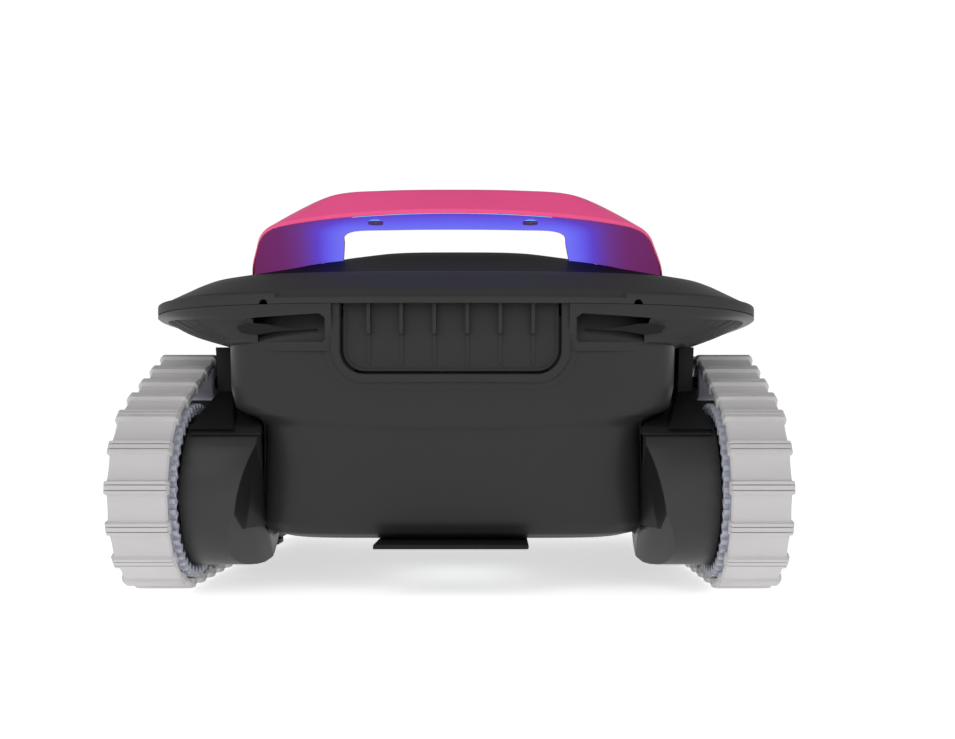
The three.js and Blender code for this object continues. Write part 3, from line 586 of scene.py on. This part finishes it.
handle = dict(steps=240, panelInset=1.7, panelThick=2.0)
outerKeys = [[0, -165, 231.8], [57.7, -157.5, 231], [100, -141.5, 229.2], [118, -128, 227.6],
             [127, -115, 224], [133, -100, 217.8], [141, -76, 207.2], [148, -26, 190]]
crestKeys = [[0, -149, 250.2], [42, -147, 250], [72, -139, 249.4], [92, -126, 244.6], [105, -114, 239],
             [113, -100, 232.6], [119, -76, 222], [126, -26, 204]]
innerKeys = [[0, -131, 227.2], [40, -130.6, 226.9], [64, -129.2, 226.2], [70.5, -123, 224.6],
             [72.5, -110, 220.4], [75.6, -92, 213.2], [86, -26, 203]]


def curveThrough(keys, count):
    # centripetal Catmull-Rom curve through the keys and their mirror image, evenly spaced in its
    # own parameter, as whole arrays
    keys = np.array(keys, float)
    points = np.concatenate([keys[:0:-1] * [-1, 1, 1], keys])
    ends = [2 * points[0] - points[1]], [2 * points[-1] - points[-2]]
    points = np.concatenate([ends[0], points, ends[1]])
    s = np.linspace(0, len(points) - 3, count)
    i = np.minimum(s.astype(int), len(points) - 4)
    u = (s - i)[:, None]
    p0, p1, p2, p3 = (points[i + k] for k in range(4))
    d0, d1, d2 = (np.sqrt(np.linalg.norm(b - a, axis=1))[:, None] for a, b in ((p0, p1), (p1, p2), (p2, p3)))
    m1 = (p1 - p0) / d0 - (p2 - p0) / (d0 + d1) + (p2 - p1) / d1
    m2 = (p2 - p1) / d1 - (p3 - p1) / (d1 + d2) + (p3 - p2) / d2
    m1, m2 = m1 * d1, m2 * d1
    return ((2 * u**3 - 3 * u**2 + 1) * p1 + (u**3 - 2 * u**2 + u) * m1
            + (3 * u**2 - 2 * u**3) * p2 + (u**3 - u**2) * m2)


def roundedLoop(corners, radii, steps=5):
    # closed loops with their corners eased by short curves: corners is (loops, corners, 3)
    before = np.roll(corners, 1, axis=1)
    after = np.roll(corners, -1, axis=1)
    parts = []
    for k, radius in enumerate(radii):
        here = corners[:, k]
        toBefore = before[:, k] - here
        toAfter = after[:, k] - here
        lengthB = np.maximum(np.linalg.norm(toBefore, axis=1), 1e-6)[:, None]
        lengthA = np.maximum(np.linalg.norm(toAfter, axis=1), 1e-6)[:, None]
        start = here + toBefore * np.minimum(radius / lengthB, 0.45)
        end = here + toAfter * np.minimum(radius / lengthA, 0.45)
        for u in np.linspace(0, 1, steps):
            parts.append((1 - u) ** 2 * start + 2 * u * (1 - u) * here + u**2 * end)
    return np.stack(parts, 1)


def raised(points, rise):
    return points + np.array([0, 0, 1.0]) * rise


def handleLines(count):
    return (curveThrough(keys, count) for keys in (outerKeys, crestKeys, innerKeys))


def lidTool(grow):
    turns = np.linspace(0, 2 * np.pi, 160, endpoint=False)
    t = np.linspace(0, 0.98, 60)
    line = np.concatenate([np.stack([t, lidHeight(t) + grow], -1), [[1, 180 + grow], [1, 150], [0, 150]]])
    x, y = ovalXY(rim["halfX"], rim["halfY"], rim["corner"], turns)
    grid = np.stack([line[:, 0, None] * x, line[:, 0, None] * y,
                     np.repeat(line[:, 1, None], len(turns), axis=1)], -1)
    return surface("lidTool", grid)


def makeHandle():
    # the pink shell: a closed section carried along the arch
    outer, crest, inner = handleLines(handle["steps"])
    lip = raised(outer, 2.4)
    brow = outer + (crest - outer) * 0.55 + [0, 0, 1.6]
    back = inner + (crest - inner) * 0.35
    back[:, 2] = inner[:, 2] + 0.82 * (crest[:, 2] - inner[:, 2])
    heel = raised(inner, 3)
    across = inner - outer
    across /= np.linalg.norm(across, axis=1)[:, None]
    edge = 1.25
    outerIn = outer + across * edge
    innerIn = inner - across * 0.4
    corners = np.stack([outer, lip, brow, crest, back, heel, inner, innerIn, raised(innerIn, 2.3),
                        raised(outerIn, 2.3), outerIn], 1)
    loops = roundedLoop(corners, [0.4, 0.3, 8, 4, 4, 1.2, 0.3, 0.1, 0.1, 0.1, 0.2])
    piece = surface("handle_cover", loops, capped=True)
    tools = [lidTool(0.3)]
    for x in (-48.3, 48.3):
        tools.append(turned("recessTool", [x, -146, 0], "Z", [[0, 220], [4.8, 220], [4.8, 236], [0, 236]], 40))
    carve(piece, *tools, angle=24)
    return settle(piece, "lid", "pink_case", "pinkPlastic", "handle_shell")


def makePanel():
    outer, _, inner = handleLines(handle["steps"])
    across = inner - outer
    width = np.linalg.norm(across, axis=1)[:, None]
    across /= width
    inset = handle["panelInset"]
    outer = outer + across * inset
    inner = inner - across * 0.5
    shares = np.linspace(0, 1, 30)[:, None, None]
    low = outer + (inner - outer) * shares
    high = raised(low, handle["panelThick"])
    grid = np.concatenate([low, high[::-1]]).transpose(1, 0, 2)
    piece = surface("handle_panel", grid, capped=True)
    tools = [lidTool(0.3)]
    for x in (-48.3, 48.3):
        tools.append(turned("recessTool", [x, -146, 0], "Z", [[0, 220], [4.8, 220], [4.8, 236], [0, 236]], 40))
    for x, y, z in ((54.6, -135, 226), (126, -74, 209.5), (91, -86, 214)):
        for side in (-1, 1):
            half = 0.9 if x < 60 else 2.4
            below = [side * x - half, y - 0.7, z - 6]
            above = [side * x + half, y + 0.7, z + 1]
            tools.append(block("slotTool", below, above))
    carve(piece, *tools)
    paintGlow(piece, inner)
    return settle(piece, "lid", "light_panel", "litPanel", "handle_underside")


def paintGlow(piece, inner):
    # glow falls with the distance from the hand opening, slower under the grip bar
    count = len(piece.data.vertices)
    places = np.zeros(count * 3)
    piece.data.vertices.foreach_get("co", places)
    places = places.reshape(-1, 3) / mm
    away = np.min(np.linalg.norm(places[:, None, :2] - inner[None, ::4, :2], axis=2), axis=1)
    reach = np.interp(np.abs(places[:, 0]), [0, 45, 75, 100], [62, 52, 33, 30])
    glow = np.exp(-(away / reach) ** 1.5) * np.interp(places[:, 1], [-95, -60, -40], [1, 0.75, 0.5])
    layer = piece.data.attributes.new("glow", "FLOAT", "POINT")
    layer.data.foreach_set("value", glow.astype(np.float32))


makeHandle()
makePanel()

for index, x in enumerate((-48.3, 48.3)):
    profile = [[0, 237], [3.6, 237], [4.0, 236.4], [4.0, 233.8],
               [3.6, 233.5], [1.6, 233.4], [1.2, 234.2], [0, 234.2]]
    screw = turned(f"recess_screw_{index + 1}", [x, -146, 0], "Z", profile, 40)
    settle(screw, "lid", "steel", "turnedSteel", f"handle_screw_{index + 1}")
    # each recess wall is split by height: glowing magenta painted shade low down, glowing cyan painted light
    # above, as the walls are seen from below
    for low, high, material in ((228.2, 229.7, "paintedMagentaShade"), (229.7, 233.4, "paintedCyanLight")):
        ring = turned(f"recess_wall_{index + 1}", [x, -146, 0], "Z",
                      [[4.7, low], [4.7, high], [4.3, high], [4.3, low], [4.7, low]], 40)
        settle(ring, "lid", "light_panel", material)


def makeLightLine():
    # thin line of light that escapes along the seam under the nose
    outer, _, _ = handleLines(handle["steps"])
    path = outer[np.abs(outer[:, 0]) < 62] + [0, 1.0, -0.12]
    tube("light_line", path, 0.16, "lid", "light_panel", "paintedCyanLight")


makeLightLine()

print("tracks")

track = dict(inner=162.0, outer=200.0, wheelY=139.0, wheelZ=61.7, base=59.5, inside=55.0, idlerY=85.0,
             idlerZ=131.0, idler=12.3, lugs=39, first=5.0, lug=2.2)


def beltLine(offsets):
    # back face of the belt: place, outward direction and how straight the belt runs there, with the
    # same list of offsets repeated round every lug
    wheel = track["base"]
    small = track["idler"] + track["base"] - track["inside"]
    dy = track["wheelY"] - track["idlerY"]
    dz = track["idlerZ"] - track["wheelZ"]
    slope = math.atan2(dz, dy) - math.asin((wheel - small) / math.hypot(dy, dz))
    lean = np.pi / 2 + slope
    stretches = [(-track["wheelY"], track["wheelZ"], wheel, np.pi, lean),
                 (-track["idlerY"], track["idlerZ"], small, lean, np.pi / 2),
                 (track["idlerY"], track["idlerZ"], small, np.pi / 2, np.pi - lean),
                 (track["wheelY"], track["wheelZ"], wheel, np.pi - lean, -np.pi / 2),
                 (-track["wheelY"], track["wheelZ"], wheel, 1.5 * np.pi, np.pi)]
    places, turns = [], []
    for y, z, radius, start, end in stretches:
        turn = np.linspace(start, end, 400)
        places.append(np.stack([y + radius * np.cos(turn), z + radius * np.sin(turn)], -1))
        turns.append(turn)
    places = np.concatenate(places)
    directions = np.concatenate([np.stack([np.cos(t), np.sin(t)], -1) for t in turns])
    run = np.concatenate([[0], np.cumsum(np.linalg.norm(np.diff(places, axis=0), axis=1))])
    pitch = run[-1] / track["lugs"]
    centres = track["first"] + pitch * np.arange(track["lugs"])
    s = (centres[:, None] + offsets[None]).ravel() % run[-1]
    along = np.tile(offsets, track["lugs"])
    keep = np.concatenate([[True], np.diff(run) > 1e-9])
    place = np.stack([np.interp(s, run[keep], places[keep, k]) for k in range(2)], -1)
    outward = np.stack([np.interp(s, run[keep], directions[keep, k]) for k in range(2)], -1)
    outward /= np.linalg.norm(outward, axis=1)[:, None]
    turning = np.linalg.norm(np.roll(outward, -6, axis=0) - np.roll(outward, 6, axis=0), axis=1)
    return s, pitch, along, place, outward, np.clip(1 - turning / 0.02, 0, 1)


def makeBelt(side):
    # height of the tread is a function of the distance along the belt and the distance across it
    half = np.array([0.6, 1.2, 1.38, 1.72, 1.9, 2.5, 3.1, 3.5, 3.9, 4.3, 4.7, 5.2, 6, 7, 8.2, 9.6, 11, 11.8])
    s, pitch, along, place, outward, straight = beltLine(np.concatenate([-half[::-1], [0], half]))
    lug = ease((4.5 - np.abs(along)) / 1.0)
    groove = 1.15 * ease((0.36 - np.abs(np.abs(along) - 1.55)) / 0.18)
    hollow = 0.75 * (np.cos(np.clip(along / pitch, -0.5, 0.5) * 2 * np.pi) - 0.35) * (1 - lug)
    left = track["inner"] + 0.2 + 1.2 * (1 - lug)
    right = track["outer"] - 1.7 * (1 - lug)
    shares = np.array([0, 0.012, 0.03, 0.07, 0.12, 0.25, 0.5, 0.75, 0.9, 0.95, 0.975, 0.99, 1.0])
    edge = np.minimum(shares, 1 - shares)
    x = left[:, None] + (right - left)[:, None] * shares
    chamfer = ease(edge / 0.045)[None, :]
    height = track["lug"] * lug[:, None] * (0.35 + 0.65 * chamfer)
    height = height - groove[:, None] * ease(edge / 0.02)[None, :]
    height = height + hollow[:, None] - 1.1 * (1 - ease(edge / 0.03))[None, :]
    height = np.minimum(height, track["lug"])
    tooth = (np.cos(s / pitch * 4 * np.pi) > 0.1) * straight
    base = track["inside"] - track["base"]
    depth = base - 1.9 * tooth
    innerX = np.stack([right - 0.2, right - 1.2, left + 1.0, left + 0.2], -1)
    innerHeight = np.stack([np.full_like(depth, base + 1.0), depth, depth, depth + 0.6], -1)
    section = np.stack([np.concatenate([x, innerX], 1), np.concatenate([height, innerHeight], 1)], -1)
    grid = np.empty(section.shape[:2] + (3,))
    grid[..., 0] = section[..., 0] * side
    grid[..., 1] = place[:, 0, None] + outward[:, 0, None] * section[..., 1]
    grid[..., 2] = np.maximum(place[:, 1, None] + outward[:, 1, None] * section[..., 1], 0)
    name = "right" if side > 0 else "left"
    piece = surface(f"belt_{name}", grid, wrapRows=True, angle=18)
    return settle(piece, "chassis", "track_rubber", "beltRubber", f"track_belt_{name}")


for side in (-1, 1):
    makeBelt(side)

wheel = dict(outer=54.4, tip=47.4, root=51, teeth=42, notches=52, notchDepth=2.4, inner=160.0)


def makeWheel(end, side, centreY):
    # toothed ring: the section's corner radii change with the angle round the axle
    name = "right" if side > 0 else "left"
    turn = np.linspace(0, 2 * np.pi, 52 * 24, endpoint=False)
    notches = ease(0.5 + 9 * np.cos(turn * wheel["notches"]))
    outer = wheel["outer"] - wheel["notchDepth"] * notches
    teeth = 1 - np.abs(2 * (turn * wheel["teeth"] / (2 * np.pi) % 1) - 1) * 1.25
    teeth = np.clip(teeth, 0, 1)
    innerR = wheel["root"] - (wheel["root"] - wheel["tip"]) * teeth
    plain = np.full_like(turn, wheel["outer"])
    x0 = wheel["inner"]
    section = [(outer - 0.5, x0), (outer, x0 + 0.5), (outer, x0 + 3.2), (plain, x0 + 3.6), (plain, x0 + 37),
               (plain - 0.8, x0 + 37.8), (plain * 0 + 51, x0 + 37.8), (plain * 0 + 50.4, x0 + 37.2),
               (plain * 0 + 50.4, x0 + 18), (innerR, x0 + 17.4), (innerR, x0 + 0.5), (innerR + 0.5, x0)]
    rows = []
    for radius, x in section:
        rows.append(np.stack([np.full_like(turn, x * side), centreY + radius * np.cos(turn),
                              track["wheelZ"] + radius * np.sin(turn)], -1))
    grid = np.array(rows).transpose(1, 0, 2)
    body = f"{end}_wheel_{name}"
    ring = surface(f"{end}_ring_{name}", grid, wrapRows=True, angle=30)
    settle(ring, body, "wheel_plastic", "wheelPlastic", f"{end}_sprocket_{name}")
    # dished web with six raised spokes between the hub and the ring
    radii = np.array([5.4, 5.4, 12, 12.6, 14, 20, 26, 32, 38, 43, 46, 50.3, 50.3, 46, 30, 12.6, 12, 5.4, 5.4])
    out = np.array([161, 194, 194, 193, 183, 181, 180, 180, 180, 180.6, 181.6, 182.4,
                    174.2, 174.2, 174.2, 174.2, 161, 161, 161], float)
    fine = np.linspace(0, 2 * np.pi, 144, endpoint=False)
    spoke = ease(0.5 + 3 * np.cos(fine * 6))
    wide = np.sin(np.clip((radii - 12) / 34, 0, 1) * np.pi) * (out > 175)
    x = out[:, None] + 5.5 * spoke[None, :] * wide[:, None] * (radii[:, None] > 13)
    y = centreY + radii[:, None] * np.cos(fine)
    z = track["wheelZ"] + radii[:, None] * np.sin(fine)
    web = np.stack([x * side, y, z], -1)
    settle(surface(f"{end}_web_{name}", web, angle=30), body, "wheel_plastic", "wheelPlastic")


for end, centreY in (("front", -track["wheelY"]), ("rear", track["wheelY"])):
    for side in (-1, 1):
        makeWheel(end, side, centreY)

print("pods, frames and the rest")


def shadePodEnd(side, end):
    # thin dark plate that lies on the slanted inner end of a pod: painted shade that darkens the end where it
    # sits in shade beside the hull
    sign = 1 if side == "right" else -1
    turn = 1 if end == "rear" else -1
    name = f"{end}_pod_{side}"
    plate = bpy.data.objects.new(f"{end}_pod_shade_plate_{side}", nodes[name].data.copy())
    bpy.context.scene.collection.objects.link(plate)
    rows = []
    for y in (118, 200):
        for z in (40, 110):
            x = 127.5 - 0.277 * (184 - y) - 0.203 * (z - 50)
            rows.append([[sign * (x - 0.1), turn * y, z], [sign * (x + 0.5), turn * y, z]])
    (a, b), (c, d), (e, f), (g, h) = rows
    slab = surface("slab", np.array([[a, b, d, c], [e, f, h, g]], float), capped=True)
    change = plate.modifiers.new("keep", "BOOLEAN")
    change.operation = "INTERSECT"
    change.solver = "EXACT"
    change.object = slab
    applyModifiers(plate)
    bpy.data.objects.remove(slab)
    for vertex in plate.data.vertices:
        vertex.co.x -= sign * 0.0003
    closeUp(plate)
    settle(plate, "chassis", "dark_case", "framePlastic")


for side in ("right", "left"):
    for end in ("front", "rear"):
        softened(f"{end}_pod_{side}", 1.2, "chassis", "black_case", "podPlastic")
        # painted shade on the pod's inner end
        shadePodEnd(side, end)
        softened(f"{end}_axle_{side}", 0.8, "chassis", "steel", "turnedSteel")
        softened(f"{end}_idler_{side}", 0.8, f"{end}_idler_{side}", "wheel_plastic", "wheelPlastic")
    softened(f"side_frame_{side}", 1.4, "chassis", "dark_case", "framePlastic")
    softened(f"skid_foot_{side}", 1.0, "chassis", "dark_case", "framePlastic")
    softened(f"belt_rail_{side}", 0.8, "chassis", "white_plastic", "nylonPlastic")
    softened(f"drive_motor_{side}", 0.8, "chassis", "steel", "turnedSteel")
    softened(f"drive_pinion_{side}", 0.25, f"drive_pinion_{side}", "white_plastic", "nylonPlastic")
    softened(f"intake_flap_{side}", 0.4, f"intake_flap_{side}", "white_plastic", "nylonPlastic")
    softened(f"float_block_{side}", 2.0, "chassis", "float_foam", "cellFoam")
    softened(f"side_screen_{side}", 0.3, "chassis", "filter_mesh", "screenCloth")


def makeRoof(side, end):
    # concave dark fairing between the side frame's post and the top of a pod
    name = "right" if side > 0 else "left"
    keys = np.array([
        [112, 125, 147.5, 155], [121, 119, 145, 155.3], [130, 114.3, 140.5, 155.6], [141, 109.4, 132, 156],
        [150, 106.4, 124.5, 156.3], [160, 104.2, 117, 156.6], [168, 102, 114.5, 157], [172, 98, 114.5, 157]])
    line = smoothLine(keys, 40, 4.0)
    y, z, inner, outer = line.T
    low = np.full_like(z, 97.0)
    rows = [(outer, low), (outer, z - 1), (outer - 0.8, z), ((outer + inner) / 2, z - 0.6), (inner + 0.8, z),
            (inner, z - 1), (inner, low)]
    grid = np.array([np.stack([side * x, end * y, np.minimum(h, 125)], -1) for x, h in rows]).transpose(1, 0, 2)
    settle(surface(f"pod_roof_{name}", grid, capped=True), "chassis", "dark_case", "framePlastic")


for side in (-1, 1):
    for end in (-1, 1):
        makeRoof(side, end)
    outline = [[-44, 98], [-43, 97], [-41, 97], [-40, 98], [-40, 133], [-41, 134], [-43, 134], [-44, 133]]
    web = prism("loop_web", outline, "X", *sorted((side * 155, side * 199)))
    settle(web, "chassis", "dark_case", "framePlastic")

softened("rear_screen", 0.3, "chassis", "filter_mesh", "screenCloth")
softened("intake_lip", 0.8, "chassis", "dark_case", "framePlastic")
softened("motor_box", 1.5, "chassis", "dark_case", "framePlastic")
softened("motor_box_cover", 1.0, "chassis", "dark_case", "framePlastic")
softened("pump_motor", 1.2, "chassis", "steel", "turnedSteel")
softened("control_board", 0.2, "chassis", "board_green", "boardLacquer")
softened("impeller", 0.5, "impeller", "white_plastic", "nylonPlastic")
softened("pump_duct", 0.8, "chassis", "dark_case", "framePlastic")
softened("cable_gland", 0.6, "chassis", "dark_case", "framePlastic")
softened("basket_bail", 1.2, "basket_bail", "white_plastic", "nylonPlastic")
softened("filter_basket", 0.5, "chassis", "dark_case", "hullPlastic")
softened("outlet_grille", 0.5, "lid", "dark_case", "framePlastic")
lightBoard = block("light_board_finished", [-50, -154.6, 233.4], [50, -151.6, 234.6])
settle(lightBoard, "lid", "board_green", "boardLacquer", "light_board")
softened("hinge_pin_1", 0.3, "chassis", "steel", "turnedSteel")
softened("hinge_pin_2", 0.3, "chassis", "steel", "turnedSteel")

print("basket face")

face = dict(halfWidth=64.8, bottom=134.8, corner=13.2, top=178.5, ribs=[-49.1, -29.5, -9.8, 9.8, 29.5, 49.1])


def makeBasketFace():
    # flat panel with a raised edge, just inside the notch frame
    outline = notchOutline(face["halfWidth"], face["bottom"], face["corner"], face["top"], 18)
    inner = notchOutline(face["halfWidth"] - 2.6, face["bottom"] + 2.2, face["corner"] - 2.2, face["top"], 18)
    rows = []
    for line, depth in ((outline, -168), (outline, -175.4), (outline * [0.995, 1] + [0, 0.3], -175.8),
                        (inner * [1.004, 1] - [0, 0.2], -175.8), (inner, -175.3), (inner * [0.0, 1], -175.3)):
        leaning = np.full(len(line), depth) + (line[:, 1] - 135) * 0.03
        rows.append(np.stack([line[:, 0], leaning, line[:, 1]], -1))
    grid = np.array(rows).transpose(1, 0, 2)
    panel = surface("basket_face", grid, wrapCols=False, angle=30)
    settle(panel, "chassis", "dark_case", "hullPlastic")
    for index, x in enumerate(face["ribs"]):
        keys = np.array([
            [-174.4, 138.4], [-175.6, 138.8], [-175.4, 156.8], [-178.2, 157.4], [-179.2, 159], [-179.2, 178],
            [-173, 178]])
        rib = prism(f"basket_rib_{index + 1}", keys, "X", x - 1.05, x + 1.05)
        settle(rib, "chassis", "dark_case", "hullPlastic")


makeBasketFace()

print("stage")

stageValues = dict(floor="#ffffff", glow=0.62, horizon=1.02, zenith=0.3, key=8.0, fill=3.0)


def makeStage():
    size = 8000.0
    corners = np.array([[[-size, -size, -0.5], [size, -size, -0.5]], [[-size, size, -0.5], [size, size, -0.5]]])
    floor = surface("floor", corners, wrapCols=False)
    material = bpy.data.materials.new("paleFloor")
    material.use_nodes = True
    shader = material.node_tree.nodes["Principled BSDF"]
    shader.inputs["Base Color"].default_value = toLinear(stageValues["floor"])
    shader.inputs["Roughness"].default_value = 0.9
    shader.inputs["Specular IOR Level"].default_value = 0.1
    shader.inputs["Emission Color"].default_value = (1, 1, 1, 1)
    shader.inputs["Emission Strength"].default_value = stageValues["glow"]
    floor.data.materials.append(material)
    # white round the horizon and dimmer overhead, so tops read darker than fronts
    world = bpy.data.worlds.new("studio")
    bpy.context.scene.world = world
    world.use_nodes = True
    tree = world.node_tree
    place = addNode(tree, "ShaderNodeTexCoord")
    parts = addNode(tree, "ShaderNodeSeparateXYZ", links={"Vector": place.outputs["Generated"]})
    level = addNode(tree, "ShaderNodeMapRange", {
        "From Min": 0.38, "From Max": 0.62, "To Min": stageValues["horizon"], "To Max": stageValues["zenith"],
    }, {"Value": parts.outputs["Z"]})
    tree.nodes["Background"].inputs["Color"].default_value = (1, 1, 1, 1)
    tree.links.new(level.outputs["Result"], tree.nodes["Background"].inputs["Strength"])
    for name, power, size, place, aim in (
        ("key", stageValues["key"], 1.4, (-0.9, -1.3, 1.5), (0, 0, 0.12)),
        ("fill", stageValues["fill"], 1.6, (1.2, -1.2, 0.9), (0, 0, 0.12)),
    ):
        lamp = bpy.data.lights.new(name, "AREA")
        lamp.energy = power
        lamp.size = size
        holder = bpy.data.objects.new(name, lamp)
        bpy.context.scene.collection.objects.link(holder)
        holder.location = place
        direction = np.array(aim) - np.array(place)
        yaw = math.atan2(direction[1], direction[0]) - math.pi / 2
        tilt = math.atan2(math.hypot(direction[0], direction[1]), -direction[2])
        holder.rotation_euler = (tilt, 0, yaw)


makeStage()

view = dict(place=(0.0278, -0.8336, 0.107), focal=1100.0, width=955.0, shiftX=-0.0209, shiftY=0.0508)
camera = bpy.data.cameras.new("camera")
camera.sensor_width = 36
camera.lens = 36 * view["focal"] / view["width"]
camera.shift_x = view["shiftX"]
camera.shift_y = view["shiftY"]
camera.clip_start = 0.01
holder = bpy.data.objects.new("camera", camera)
bpy.context.scene.collection.objects.link(holder)
holder.location = view["place"]
holder.rotation_euler = (math.pi / 2, 0, 0)
bpy.context.scene.camera = holder
bpy.context.scene.view_settings.view_transform = "Standard"
